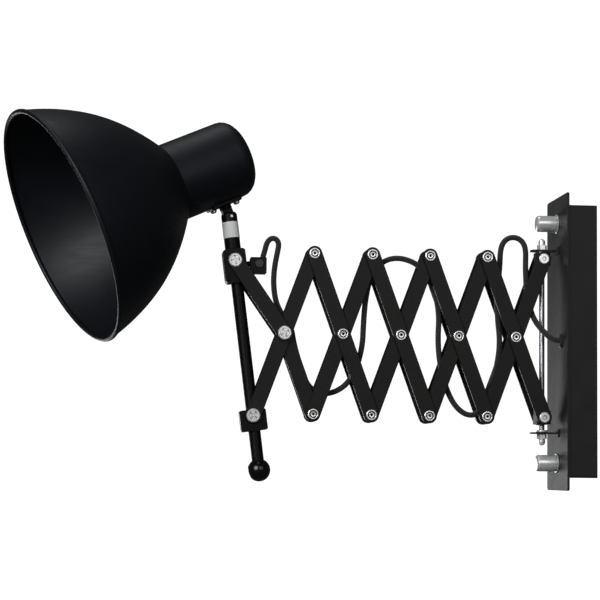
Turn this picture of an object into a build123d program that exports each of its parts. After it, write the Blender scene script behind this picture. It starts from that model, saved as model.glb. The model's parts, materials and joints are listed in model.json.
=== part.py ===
# Accordion wall lamp: a wall box with a swinging scissor arm, a tilting post and a bell shade.
# Millimetres, +Z up. The wall is the plane x = 0, the arm reaches towards -X, and the arm's middle
# plane is y = 0. The origin is the centre of the wall box's back.
import os
from math import atan2, cos, degrees, pi, radians, sin, sqrt, tan

from build123d import *

os.makedirs("parts", exist_ok=True)

# ---------------------------------------------------------------- driving dimensions: clearances
run_fit = 0.05          # radial clearance of a pin or shaft that turns or slides in its hole
seat_fit = 0.05         # radial clearance of a piece that is fixed in its hole
end_play = 0.1          # axial gap between faces that turn against each other
layer_gap = 0.15        # gap between neighbouring layers of flat bars

# ---------------------------------------------------------------- driving dimensions: wall box
plate_width = 80.0
plate_overhang = 11.5   # the plate past the box, at the top and at the bottom
plate_thick = 2.0
plate_corner = 3.0
plate_edge = 0.5
box_end_margin = 13.0   # from a stud to the end of the box
box_inset = 1.0         # the box is this much narrower than the plate on each side
box_depth = 25.5
box_wall = 1.2
box_corner = 2.0
strap_width = 30.0
strap_end_margin = 8.5  # from a stud to the end of the strap
strap_thick = 2.0
wall_screw_spacing = 120.0
wall_screw_hole_r = 2.6
stud_beyond_bracket = 26.2
stud_r = 3.0
cap_nut_r = 7.5
cap_nut_length = 18.4
cap_nut_round = 2.6
cap_nut_wall = 3.4      # solid end beyond the stud
nut_washer_r = 8.8
nut_washer_thick = 1.4
terminal_size = (16.0, 34.0, 18.0)
terminal_z = -38.0
terminal_ways = 3
terminal_screw_r = 2.0
terminal_screw_length = 6.0
terminal_screw_slot = 1.0
terminal_screw_pitch = 10.0
terminal_screw_offset = 5.0
earth_screw_z = 40.0
earth_screw_r = 2.0
earth_head_r = 4.0
earth_head_thick = 2.6
earth_head_bevel = 0.8

# ---------------------------------------------------------------- driving dimensions: swing rod
rod_offset = 14.2       # rod axis in front of the plate
rod_r = 2.5
bracket_width = 13.0
bracket_thick = 1.5
bracket_reach = 10.5    # from the rod axis to the rounded end
bracket_foot_height = 7.0
bracket_foot_width = 20.0
bracket_foot_thick = 1.6
rod_washer_r = 5.3
upper_washer_thick = 1.0
lower_washer_thick = 1.9
rod_span = 166.6        # between the lower faces of the two brackets; the arm and the box follow it
slider_travel = 5.187   # what the lower block can still go down, as photographed
acorn_flat = 8.0        # across the hexagon's flats
acorn_hex_height = 4.4
acorn_dome_r = 3.15
acorn_dome_height = 6.0
rod_block_x = 13.0
rod_block_height = 12.0
rod_block_round = 1.5

# ---------------------------------------------------------------- driving dimensions: scissor arm
arm_z = 4.0             # height of the row of middle pivots
end_bar = 79.0          # from the elbow to either pivot of the post
crosses = 4             # full crossings; a fifth is made of a bar and a half bar
fold_angle = 20.0       # of the bars from upright, as photographed
link_lean = 35.0        # of the end links from upright, as photographed
bar_width = 13.6
bar_thick = 2.2
bar_edge = 0.35
inner_half = 7.0        # from the middle plane to the inner faces of the falling bars
pin_shank_r = 2.0
pin_spacer_r = 3.1
pin_head_r = 4.75
pin_head_thick = 1.3
pin_bore_r = 1.1
pin_bore_depth = 2.4
screw_shank_r = 1.6
screw_bite = 3.0
shoulder_r = 2.4
big_head_r = 6.2
big_head_thick = 2.0
big_recess_r = 3.9
big_recess_depth = 1.1
elbow_shank_r = 3.0
elbow_spacer_r = 4.2
trunnion_r = 3.55
trunnion_root = 1.0     # how deep a trunnion starts inside its block
bush_sleeve = 0.75      # wall of the bush that lines a bar's end hole
bush_flange_r = 6.2
bush_flange_thick = 0.5

# ---------------------------------------------------------------- driving dimensions: post
post_r = 5.5
post_clamp_x = 20.5
post_clamp_above = 10.5
post_clamp_below = 20.0
post_clamp_round = 3.0
post_seat = 6.0         # how far under the pivot the rod's top and the sleeve's foot meet
clamp_screw_r = 1.4
clamp_screw_head_r = 2.3
clamp_screw_x = -7.9
clamp_screw_z = -15.5
guide_x = 24.0
guide_above = 5.5
guide_below = 13.8
guide_round = 2.0
ball_r = 10.2
ball_drop = 189.0       # from the upper pivot down the post to the ball's centre
ball_socket = 8.0
sleeve_r = 7.2
sleeve_wall = 1.6
sleeve_round = 3.4
knuckle_rise = 40.5     # from the upper pivot up the post to the tilt pin
knuckle_cover = 4.4     # sleeve above the tilt pin
slot_depth = 8.5        # of the sleeve's slot under the tilt pin
band_low = 21.0
band_high = 35.5
band_thick = 0.15
tilt_pin_r = 1.5
tongue_thick = 4.4
tongue_r = 5.0
tongue_gap = 0.25       # each side of the tongue in its slot
collar_r = 5.8
collar_rings = 3
clip_size = (14.6, 13.0, 14.6)
clip_offset = 20.8      # from the post's axis to the clip's middle
clip_drop = 6.5         # from the upper pivot down to the clip's middle
clip_edge = 0.8
clip_neck_r = 2.6
clip_neck_drop = 4.0
clip_neck_depth = 1.5
clip_screw_r = 4.1
clip_screw_thick = 1.2
clip_shank_r = 1.5
clip_screw_bite = 2.4
clip_screw_at = (0.6, 1.6)              # from the clip's middle
cord_clip_bore = 12.0

# ---------------------------------------------------------------- driving dimensions: head
head_turn_rest = 16.2   # the shade is turned this far from the arm's plane, as photographed
head_tilt_rest = 17.1   # and tilted this far down from square to the post
neck_r = 35.5
neck_length = 74.0
neck_round = 12.0
neck_wall = 1.0
saddle_back = 41.0      # from the shade's small end back to the saddle's middle
saddle_length = 31.0
saddle_width = 20.0
saddle_thick = 2.0
saddle_screw_pitch = 24.0
saddle_screw_r = 1.6
saddle_screw_head_r = 3.1
saddle_screw_head_thick = 2.4
tongue_length = 10.2    # from the tilt pin to the saddle
shade_wall = 1.0
shade_outline = ((0.0, 36.0), (18.0, 57.0), (45.0, 80.3), (76.0, 97.0), (108.6, 107.4))
shade_rim_r = 2.2
holder_r = 19.6
holder_back = 46.0
holder_front = 13.0
holder_bore_r = 14.6
holder_bore_depth = 34.0
ring_r = 28.0
ring_thick = 5.0
shell_r = 13.4          # the mean radius of the socket's thread, whose turns aren't modelled
shell_wall = 0.8
shell_back = 16.0
shell_front = 9.0
contact_r = 4.0
contact_thick = 1.6
holder_foot_r = 8.0

# ---------------------------------------------------------------- driving dimensions: cord
cord_r = 2.6
gland_y = -17.0
gland_z = 0.6
gland_flange_r = 6.3
gland_flange_thick = 2.2
gland_body_r = 4.4
gland_inner = 6.5       # how far the gland reaches behind the plate
gland_nut_r = 7.0
gland_nut_thick = 3.0

# ---------------------------------------------------------------- places that follow from them
plate_back = box_depth
plate_front = box_depth + plate_thick
rod_x = -(plate_front + rod_offset)
upper_stack = rod_block_height / 2 + upper_washer_thick + 2 * end_play
lower_stack = rod_block_height / 2 + slider_travel + lower_washer_thick + end_play + bracket_thick
half_high = (rod_span - upper_stack - lower_stack) / 2
half_bar = half_high / cos(radians(fold_angle))     # between a bar's middle and end pivots
half_wide = half_bar * sin(radians(fold_angle))
stud_spacing = rod_span + 2 * stud_beyond_bracket
box_height = stud_spacing + 2 * box_end_margin
plate_height = box_height + 2 * plate_overhang
strap_length = stud_spacing + 2 * strap_end_margin
post_lean = (link_lean - fold_angle) / 2
bar_layer = bar_thick + layer_gap
core_half = inner_half - bar_layer      # the half bars lie inside the falling bars
outer_half = inner_half + bar_layer     # the rising bars and the end links lie outside them
bush_r = trunnion_r + run_fit + bush_sleeve

upper_pivots = [(rod_x - 2 * k * half_wide, arm_z + half_high) for k in range(crosses + 1)]
lower_pivots = [(rod_x - 2 * k * half_wide, arm_z - half_high) for k in range(crosses + 1)]
middle_pivots = [(rod_x - (2 * k - 1) * half_wide, arm_z) for k in range(1, crosses + 1)]
elbow = (rod_x - (2 * crosses + 1) * half_wide, arm_z)
post_foot = (elbow[0] - end_bar * sin(radians(fold_angle)), arm_z - end_bar * cos(radians(fold_angle)))
post_head = (elbow[0] - end_bar * sin(radians(link_lean)), arm_z + end_bar * cos(radians(link_lean)))


# the cord's route: out of the gland, past the rod, up over the bars, down and up again between the
# two ladders, and into the clip on the post
cord_route = [
    (-16.5, -17.0, 0.6),
    (-34.5, -17.0, 0.6),
    (-42.5, -13.0, 8.8),
    (-49.2, -6.0, 18.6),
    (-53.8, -2.6, 32.0),
    (-56.4, -0.8, 49.0),
    (-57.0, 0.3, 69.0),
    (-56.3, 1.0, 88.5),
    (-63.0, 1.6, 96.5),
    (-73.0, 1.6, 96.5),
    (-80.0, 1.2, 88.5),
    (-80.8, 0.5, 68.0),
    (-83.6, -0.4, 45.0),
    (-83.2, -1.2, 22.0),
    (-80.6, -1.0, 0.0),
    (-83.2, 0.0, -22.0),
    (-89.4, 0.9, -42.0),
    (-95.4, 1.2, -57.0),
    (-101.2, 1.0, -66.2),
    (-111.2, 0.4, -67.2),
    (-121.6, -0.5, -59.6),
    (-129.2, -1.0, -46.0),
    (-135.6, -1.1, -25.0),
    (-138.2, -0.6, -1.0),
    (-136.6, 0.2, 25.0),
    (-141.2, 0.9, 47.0),
    (-149.8, 1.2, 64.0),
    (-162.0, 0.8, 72.6),
    (-177.0, 0.0, 75.6),
    (-190.4, -0.8, 71.0),
    (-200.4, -1.2, 57.0),
    (-204.6, -1.0, 38.0),
    (-206.2, -0.3, 16.0),
    (-206.8, 0.5, -6.0),
    (-212.2, 1.0, -27.0),
    (-221.2, 0.9, -41.6),
    (-235.0, 0.4, -49.6),
    (-249.6, -0.2, -49.0),
    (-259.4, -0.6, -38.0),
    (-265.0, -0.6, -20.0),
    (-269.8, -0.3, -3.0),
    (-271.4, 0.0, 9.0),
    (-280.0, 0.2, 20.4),
    (-286.4, 0.3, 33.0),
    (-288.6, 0.3, 50.0),
    (-287.6, 0.2, 65.0),
    (-285.3, 0.0, 77.0),
    (-283.6, -0.2, 86.8),
    (-288.6, -0.3, 91.3),
    (-294.5, -0.2, 88.0),
    (-297.0, -0.1, 77.6),
    (-299.7, 0.0, 67.8),
]
drawn_half_bar = 77.0   # the sizes and places that the route was drawn for
drawn_rod_x = -41.7
drawn_elbow_x = -278.72
drawn_post_head = (-324.033, 68.713)
gland_side = -38.0      # the route stays with the gland on this side
elbow_side = -262.0     # past this it goes with the elbow
post_side_x = -287.0    # past this it goes with the post


def fitted(x, y, z):
    """A point of the route, moved with the part of the lamp that it goes past."""
    if x > gland_side:
        return Vector(x, y, z)
    if x < post_side_x and z > drawn_post_head[1] / 2:
        return Vector(x + post_head[0] - drawn_post_head[0], y, z + post_head[1] - drawn_post_head[1])
    if x < elbow_side:
        return Vector(x + elbow[0] - drawn_elbow_x, y, z)
    ratio = half_bar / drawn_half_bar
    return Vector(rod_x + (x - drawn_rod_x) * ratio, y, arm_z + (z - arm_z) * ratio)


cord_points = [fitted(*point) for point in cord_route]
cord_end = cord_points[-1]


def place(point, y=0.0):
    """The point of the arm's middle plane at (x, z), moved sideways to y."""
    return Vector(point[0], y, point[1])


def axial_plane(centre, along):
    """A plane through a turned piece's axis: its local X runs along the axis."""
    along = Vector(along).normalized()
    helper = Vector(0, 1, 0) if abs(along.Y) < 0.7 else Vector(1, 0, 0)
    return Plane(origin=centre, x_dir=along, z_dir=along.cross(helper).normalized())


def turned(outline, centre, along, mode=Mode.ADD):
    """Turns an outline of (along the axis, radius) points about the axis, into the part in hand."""
    plane = axial_plane(centre, along)
    with BuildSketch(plane) as profile:
        with BuildLine():
            Polyline(*outline, close=True)
        make_face()
    revolve(profile.sketch, axis=Axis(plane.origin, plane.x_dir), mode=mode)


def rod_outline(start, end, radius, bevel=0.0):
    """The outline of a plain cylinder from start to end, with both rims bevelled."""
    if bevel == 0:
        return [(start, 0), (start, radius), (end, radius), (end, 0)]
    return [
        (start, 0),
        (start, radius - bevel),
        (start + bevel, radius),
        (end - bevel, radius),
        (end, radius - bevel),
        (end, 0),
    ]


def ring_outline(start, end, inner, outer, bevel=0.0):
    """The outline of a ring from start to end, with its outer rims bevelled."""
    return [
        (start, inner),
        (start, outer - bevel),
        (start + bevel, outer),
        (end - bevel, outer),
        (end, outer - bevel),
        (end, inner),
    ] if bevel else [(start, inner), (start, outer), (end, outer), (end, inner)]


def save(name, piece):
    """Labels one finished piece and writes it."""
    piece.part.label = name
    export_step(piece.part, f"parts/{name}.step")


# ================================================================ wall box
stud_places = [(0, -stud_spacing / 2), (0, stud_spacing / 2)]
upper_bracket_z = arm_z + half_high + upper_stack
lower_bracket_z = upper_bracket_z - rod_span
bracket_levels = (upper_bracket_z, lower_bracket_z)
front_plane = Plane.YZ.offset(-plate_front)

with BuildPart() as wall_plate:
    with BuildSketch(front_plane):
        RectangleRounded(plate_width, plate_height, plate_corner)
        with Locations(*stud_places):
            Circle(stud_r + seat_fit, mode=Mode.SUBTRACT)
        with Locations((gland_y, gland_z)):
            Circle(gland_body_r + seat_fit, mode=Mode.SUBTRACT)
        with Locations(*[(0, level + bracket_thick / 2) for level in bracket_levels]):
            Rectangle(bracket_width + 2 * seat_fit, bracket_thick + 2 * seat_fit, mode=Mode.SUBTRACT)
    extrude(amount=plate_thick)
    chamfer(wall_plate.faces().sort_by(Axis.X)[0].outer_wire().edges(), plate_edge)
save("wall_plate", wall_plate)

with BuildPart() as wall_box:
    box_width = plate_width - 2 * box_inset
    with BuildSketch(Plane.YZ.offset(-plate_back)):
        RectangleRounded(box_width, box_height, box_corner)
        RectangleRounded(
            box_width - 2 * box_wall, box_height - 2 * box_wall, box_corner - box_wall, mode=Mode.SUBTRACT
        )
    extrude(amount=box_depth)
save("wall_box", wall_box)

with BuildPart() as mounting_strap:
    with BuildSketch(Plane.YZ):
        RectangleRounded(strap_width, strap_length, strap_width / 6)
        with Locations(*stud_places):
            Circle(stud_r + seat_fit, mode=Mode.SUBTRACT)
        with Locations((0, -wall_screw_spacing / 2), (0, wall_screw_spacing / 2)):
            Circle(wall_screw_hole_r, mode=Mode.SUBTRACT)
        with Locations((0, earth_screw_z)):
            Circle(earth_screw_r + seat_fit, mode=Mode.SUBTRACT)
    extrude(amount=-strap_thick)
save("mounting_strap", mounting_strap)

stud_end = plate_front + nut_washer_thick + cap_nut_length - cap_nut_wall
with BuildPart() as plate_studs:
    for y, z in stud_places:
        turned(rod_outline(0, stud_end, stud_r, 0.4), (0, y, z), (-1, 0, 0))
save("plate_studs", plate_studs)

with BuildPart() as cap_nut_washers:
    for y, z in stud_places:
        turned(
            ring_outline(0, nut_washer_thick, stud_r + seat_fit, nut_washer_r, 0.3),
            (-plate_front, y, z),
            (-1, 0, 0),
        )
save("cap_nut_washers", cap_nut_washers)


def cap_nut_outline():
    """A closed round nut: a blind bore from its seat, and a rounded far end."""
    bore = stud_r + seat_fit
    steps = [radians(angle) for angle in (0, 30, 60, 90)]
    far = cap_nut_length
    corner = [
        (far - cap_nut_round + cap_nut_round * sin(a), cap_nut_r - cap_nut_round + cap_nut_round * cos(a))
        for a in steps
    ]
    return [(0, bore), (0, cap_nut_r), *corner, (far, 0), (far - cap_nut_wall + end_play, 0),
            (far - cap_nut_wall + end_play, bore)]


with BuildPart() as cap_nuts:
    for y, z in stud_places:
        turned(cap_nut_outline(), (-plate_front - nut_washer_thick, y, z), (-1, 0, 0))
save("cap_nuts", cap_nuts)

terminal_ys = [(k - (terminal_ways - 1) / 2) * terminal_screw_pitch for k in range(terminal_ways)]
terminal_screws_at = [
    (y, terminal_z + side * terminal_screw_offset) for y in terminal_ys for side in (-1, 1)
]
terminal_top = strap_thick + terminal_size[0]
with BuildPart() as terminal_block:
    with BuildSketch(Plane.YZ.offset(-terminal_top)):
        with Locations((0, terminal_z)):
            RectangleRounded(terminal_size[1], terminal_size[2], 1.5)
    extrude(amount=terminal_size[0])
    with BuildSketch(Plane.YZ.offset(-terminal_top)):
        with Locations(*terminal_screws_at):
            Circle(terminal_screw_r + seat_fit)
    extrude(amount=terminal_screw_length + end_play, mode=Mode.SUBTRACT)
save("terminal_block", terminal_block)

with BuildPart() as wiring_screws:
    with BuildSketch(Plane.YZ.offset(-terminal_top)):
        with Locations(*terminal_screws_at):
            Circle(terminal_screw_r)
            Rectangle(3 * terminal_screw_r, terminal_screw_r / 3, mode=Mode.SUBTRACT)
    extrude(amount=terminal_screw_slot)
    with BuildSketch(Plane.YZ.offset(-terminal_top + terminal_screw_slot)):
        with Locations(*terminal_screws_at):
            Circle(terminal_screw_r)
    extrude(amount=terminal_screw_length - terminal_screw_slot)
    turned(
        [
            (0, 0),
            (0, earth_screw_r),
            (strap_thick, earth_screw_r),
            (strap_thick, earth_head_r),
            (strap_thick + earth_head_thick, earth_head_r - earth_head_bevel),
            (strap_thick + earth_head_thick, 0),
        ],
        (0, 0, earth_screw_z),
        (-1, 0, 0),
    )
save("wiring_screws", wiring_screws)


def rod_bracket(level):
    """A strip that holds one end of the swing rod, with a foot and a tenon in the plate's slot."""
    with BuildPart() as bracket:
        with BuildSketch(Plane.XY.offset(level)):
            with Locations(((rod_x - plate_front) / 2, 0)):
                Rectangle(rod_offset, bracket_width)
            with Locations((rod_x, 0)):
                RectangleRounded(2 * bracket_reach, bracket_width, 4.0)
                Circle(rod_r + run_fit, mode=Mode.SUBTRACT)
            with Locations((-plate_front + plate_thick / 2, 0)):
                Rectangle(plate_thick, bracket_width)
        extrude(amount=bracket_thick)
        with BuildSketch(front_plane):
            with Locations((0, level + bracket_thick / 2)):
                RectangleRounded(bracket_foot_width, bracket_foot_height, 1.5)
        extrude(amount=-bracket_foot_thick)
    return bracket


upper_bracket = rod_bracket(upper_bracket_z)
save("upper_bracket", upper_bracket)
lower_bracket = rod_bracket(lower_bracket_z)
save("lower_bracket", lower_bracket)

with BuildPart() as cable_gland:
    turned(
        [
            (-gland_inner, cord_r + seat_fit),
            (-gland_inner, gland_body_r),
            (0, gland_body_r),
            (0, gland_flange_r),
            (gland_flange_thick * 0.6, gland_flange_r),
            (gland_flange_thick, gland_flange_r - 1.4),
            (gland_flange_thick, cord_r + seat_fit),
        ],
        (-plate_front, gland_y, gland_z),
        (-1, 0, 0),
    )
save("cable_gland", cable_gland)

with BuildPart() as gland_nut:
    with BuildSketch(Plane.YZ.offset(-plate_back)):
        with Locations((gland_y, gland_z)):
            RegularPolygon(gland_nut_r, 6)
            Circle(gland_body_r + seat_fit, mode=Mode.SUBTRACT)
    extrude(amount=gland_nut_thick)
save("gland_nut", gland_nut)


def corner_radius(before, corner, after):
    """The largest easy radius of a corner: its arc takes up 0.45 of the shorter of its two runs."""
    turn_angle = (corner - before).get_angle(after - corner)
    shorter = min((corner - before).length, (after - corner).length)
    return 0.45 * shorter / tan(radians(turn_angle) / 2)


corner_radii = [corner_radius(*cord_points[k - 1:k + 2]) for k in range(1, len(cord_points) - 1)]
with BuildPart() as cord:
    with BuildLine():
        cord_path = FilletPolyline(*cord_points, radius=corner_radii)
    with BuildSketch(Plane(origin=cord_path @ 0, z_dir=cord_path % 0)):
        Circle(cord_r)
    sweep(path=cord_path)
save("cord", cord)
cord_length = cord_path.length
print("cord radii", [round(radius, 1) for radius in corner_radii])
cord_fill = cord.part.volume / (pi * cord_r**2 * cord_length)
print("cord length", round(cord_length, 1), "fill", round(cord_fill, 4))

# ================================================================ swing rod
acorn_bore = rod_r + seat_fit
acorn_hex_r = acorn_flat / sqrt(3)
acorn_height = acorn_hex_height + acorn_dome_height
rod_top = upper_bracket_z + bracket_thick + end_play + acorn_height - acorn_dome_r
rod_bottom = lower_bracket_z - end_play - acorn_height + acorn_dome_r

with BuildPart() as wall_rod:
    turned(rod_outline(rod_bottom, rod_top, rod_r, 0.5), (rod_x, 0, 0), (0, 0, 1))
save("wall_rod", wall_rod)


def acorn_nut(seat, up):
    """A hexagon nut with a dome, from the seat's height, upwards or downwards, into the part in hand."""
    with BuildSketch(Plane(origin=(rod_x, 0, seat), x_dir=(1, 0, 0), z_dir=(0, 0, up))) as hexagon:
        RegularPolygon(acorn_hex_r, 6)
        Circle(acorn_bore, mode=Mode.SUBTRACT)
    extrude(hexagon.sketch, amount=acorn_hex_height)
    wall = acorn_height - acorn_dome_r
    cap = [
        (wall + acorn_dome_r * sin(radians(a)), acorn_dome_r * cos(radians(a))) for a in (0, 22, 45, 67, 90)
    ]
    hollow_end = acorn_height - acorn_dome_r + end_play
    turned(
        [(acorn_hex_height, acorn_bore), (acorn_hex_height, acorn_dome_r), *cap, (hollow_end, 0),
         (hollow_end, acorn_bore)],
        (rod_x, 0, seat),
        (0, 0, up),
    )


with BuildPart() as rod_acorns:
    acorn_nut(upper_bracket_z + bracket_thick + end_play, 1)
    acorn_nut(lower_bracket_z - end_play, -1)
save("rod_acorns", rod_acorns)

upper_block_top = arm_z + half_high + rod_block_height / 2
with BuildPart() as rod_washers:
    turned(
        ring_outline(0, upper_washer_thick, rod_r + seat_fit, rod_washer_r, 0.2),
        (rod_x, 0, upper_block_top + end_play),
        (0, 0, 1),
    )
    turned(
        ring_outline(0, lower_washer_thick, rod_r + seat_fit, rod_washer_r, 0.2),
        (rod_x, 0, lower_bracket_z + bracket_thick + end_play),
        (0, 0, 1),
    )
save("rod_washers", rod_washers)


def rod_block(pivot, half_width, bore_r):
    """A block on the swing rod, with a screw hole in each side for the bars' end pivots."""
    with BuildPart() as block:
        with BuildSketch(Plane.XY.offset(pivot[1] - rod_block_height / 2)):
            with Locations((pivot[0], 0)):
                RectangleRounded(rod_block_x, 2 * half_width, rod_block_round)
                Circle(bore_r, mode=Mode.SUBTRACT)
        extrude(amount=rod_block_height)
        for side in (-1, 1):
            turned(
                rod_outline(half_width - screw_bite - end_play, half_width + 1, screw_shank_r + seat_fit),
                place(pivot),
                (0, side, 0),
                Mode.SUBTRACT,
            )
    return block


upper_block_half = inner_half - end_play
slider_half = outer_half - end_play
upper_block = rod_block(upper_pivots[0], upper_block_half, rod_r + seat_fit)
save("upper_block", upper_block)
slider_block = rod_block(lower_pivots[0], slider_half, rod_r + run_fit)
save("slider_block", slider_block)


def side_screws(pivot, block_half, bar_face):
    """A shoulder screw in each side of a block, which carries a bar whose outer face is at bar_face."""
    seat = bar_face + end_play
    for side in (-1, 1):
        turned(
            [
                (block_half - screw_bite, 0),
                (block_half - screw_bite, screw_shank_r),
                (block_half, screw_shank_r),
                (block_half, shoulder_r),
                (seat, shoulder_r),
                (seat, pin_head_r),
                (seat + pin_head_thick * 0.6, pin_head_r),
                (seat + pin_head_thick, pin_head_r - 0.7),
                (seat + pin_head_thick, 0),
            ],
            place(pivot),
            (0, side, 0),
        )
        with BuildSketch(Plane(origin=place(pivot, side * (seat + 0.2)), x_dir=(1, 0, 0),
                               z_dir=(0, side, 0))) as socket:
            RegularPolygon(pin_head_r * 0.45, 6)
        extrude(socket.sketch, amount=pin_head_thick, mode=Mode.SUBTRACT)


with BuildPart() as upper_pivot_screws:
    side_screws(upper_pivots[0], upper_block_half, inner_half + bar_thick)
save("upper_pivot_screws", upper_pivot_screws)
with BuildPart() as slider_pivot_screws:
    side_screws(lower_pivots[0], slider_half, outer_half + bar_thick)
save("slider_pivot_screws", slider_pivot_screws)


# ================================================================ scissor arm
def bar_pair(start, end, inner, holes):
    """Two like flat bars, one each side of the middle plane, with inner faces at inner.

    holes lists (point, radius) for every pivot of the bar.
    """
    middle = ((start[0] + end[0]) / 2, (start[1] + end[1]) / 2)
    along = Vector(end[0] - start[0], end[1] - start[1])
    with BuildPart() as pair:
        for face in (inner, -inner - bar_thick):
            with BuildSketch(Plane.XZ.offset(face)):
                with Locations(middle):
                    SlotCenterToCenter(along.length, bar_width, rotation=degrees(atan2(along.Y, along.X)))
                for point, radius in holes:
                    with Locations(point):
                        Circle(radius, mode=Mode.SUBTRACT)
            extrude(amount=bar_thick)
        chamfer(pair.edges().group_by(Axis.Y)[0] + pair.edges().group_by(Axis.Y)[-1], bar_edge)
    return pair


def hole(point, radius):
    """A pivot hole for a pin of this radius."""
    return (point, radius + run_fit)


def pin(point, inner):
    """A shouldered rivet across both ladders, whose inner bars' inner faces are at inner."""
    spacer_end = inner - end_play
    seat = inner + bar_layer + bar_thick + end_play
    tip = seat + pin_head_thick
    outline = [
        (0, 0),
        (0, pin_spacer_r),
        (spacer_end, pin_spacer_r),
        (spacer_end, pin_shank_r),
        (seat, pin_shank_r),
        (seat, pin_head_r),
        (seat + pin_head_thick * 0.55, pin_head_r),
        (tip, pin_head_r - 0.6),
        (tip, pin_bore_r),
        (tip - pin_bore_depth, pin_bore_r),
        (tip - pin_bore_depth, 0),
    ]
    for side in (-1, 1):
        turned(outline, place(point), (0, side, 0))


for number in range(1, crosses + 1):
    top, bottom, middle = upper_pivots[number - 1], lower_pivots[number], middle_pivots[number - 1]
    top_r = shoulder_r if number == 1 else pin_shank_r
    falling = bar_pair(top, bottom, inner_half, [hole(top, top_r), hole(middle, pin_shank_r),
                                                 hole(bottom, pin_shank_r)])
    save(f"falling_bars_{number}", falling)
    foot, tip = lower_pivots[number - 1], upper_pivots[number]
    foot_r = shoulder_r if number == 1 else pin_shank_r
    rising = bar_pair(foot, tip, outer_half, [hole(foot, foot_r), hole(middle, pin_shank_r),
                                               hole(tip, pin_shank_r)])
    save(f"rising_bars_{number}", rising)
    with BuildPart() as pins:
        if number > 1:
            pin(top, inner_half)
        pin(middle, inner_half)
        pin(bottom, core_half if number == crosses else inner_half)
    save(f"pivot_pins_{number}", pins)

last_top = upper_pivots[crosses]
last_low = lower_pivots[crosses]
last_holes = [hole(last_top, pin_shank_r), hole(elbow, elbow_shank_r), hole(post_foot, bush_r)]
falling_last = bar_pair(last_top, post_foot, inner_half, last_holes)
save("falling_bars_5", falling_last)
half_bars = bar_pair(last_low, elbow, core_half, [hole(last_low, pin_shank_r), hole(elbow, elbow_shank_r)])
save("half_bars", half_bars)
end_links = bar_pair(elbow, post_head, outer_half, [hole(elbow, elbow_shank_r), hole(post_head, bush_r)])
save("end_links", end_links)
with BuildPart() as pivot_pins_5:
    pin(last_top, inner_half)
save("pivot_pins_5", pivot_pins_5)


def cross_recess(centre, side, seat, turn):
    """Cuts a round dish and a cross-shaped driver recess in a big screw head."""
    face = seat + big_head_thick
    with BuildSketch(Plane(origin=place(centre, side * (face - big_recess_depth)), x_dir=(1, 0, 0),
                           z_dir=(0, side, 0))) as recess:
        Rectangle(2 * big_recess_r, big_recess_r * 0.42, rotation=turn)
        Rectangle(2 * big_recess_r, big_recess_r * 0.42, rotation=turn + 90)
    extrude(recess.sketch, amount=big_recess_depth + 1, mode=Mode.SUBTRACT)


def big_head_points(seat):
    """The outline of a big screw head, from its seat outwards, with a dished middle."""
    face = seat + big_head_thick
    return [
        (seat, big_head_r),
        (seat + big_head_thick * 0.5, big_head_r),
        (face, big_head_r - 0.9),
        (face, big_recess_r + 0.4),
        (face - 0.5, big_recess_r),
        (face - 0.5, 0),
    ]


elbow_seat = outer_half + bar_thick + end_play
with BuildPart() as elbow_bolt:
    spacer_end = core_half - end_play
    for side in (-1, 1):
        turned(
            [(0, 0), (0, elbow_spacer_r), (spacer_end, elbow_spacer_r), (spacer_end, elbow_shank_r),
             (elbow_seat, elbow_shank_r), *big_head_points(elbow_seat)],
            place(elbow),
            (0, side, 0),
        )
        cross_recess(elbow, side, elbow_seat, 30)
save("elbow_bolt", elbow_bolt)


def flanged_bushes(point, bar_inner):
    """A flanged bush in each bar of a pair, between the bar and the block that it carries."""
    with BuildPart() as bushes:
        for side in (-1, 1):
            flange_end = bar_inner - end_play / 2
            turned(
                [
                    (flange_end - bush_flange_thick, trunnion_r + run_fit),
                    (flange_end - bush_flange_thick, bush_flange_r),
                    (flange_end, bush_flange_r),
                    (flange_end, bush_r),
                    (bar_inner + bar_thick, bush_r),
                    (bar_inner + bar_thick, trunnion_r + run_fit),
                ],
                place(point),
                (0, side, 0),
            )
    return bushes


upper_bushes = flanged_bushes(post_head, outer_half)
save("upper_bushes", upper_bushes)
lower_bushes = flanged_bushes(post_foot, inner_half)
save("lower_bushes", lower_bushes)

# ================================================================ post
post_up = Vector(-sin(radians(post_lean)), 0, cos(radians(post_lean)))
post_side = Vector(cos(radians(post_lean)), 0, sin(radians(post_lean)))
head_point = place(post_head)
foot_point = place(post_foot)
post_clamp_half = outer_half - bush_flange_thick - end_play
guide_half = inner_half - bush_flange_thick - end_play


def leaning_block(pivot, half_y, width, above, below, corner, screw_r, bar_inner):
    """A block whose sides follow the post, with a trunnion on each side, into the part in hand."""
    plane = Plane(origin=place(pivot, -half_y), x_dir=post_side, z_dir=(0, 1, 0))
    with BuildSketch(plane) as outline:
        with Locations((0, (below - above) / 2)):
            RectangleRounded(width, above + below, corner)
    extrude(outline.sketch, amount=2 * half_y)
    tip = bar_inner + bar_thick + end_play / 2
    for side in (-1, 1):
        turned(rod_outline(half_y - trunnion_root, tip, trunnion_r), place(pivot), (0, side, 0))
        bore = rod_outline(tip - screw_bite, tip + 1, screw_r + seat_fit)
        turned(bore, place(pivot), (0, side, 0), Mode.SUBTRACT)


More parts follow.
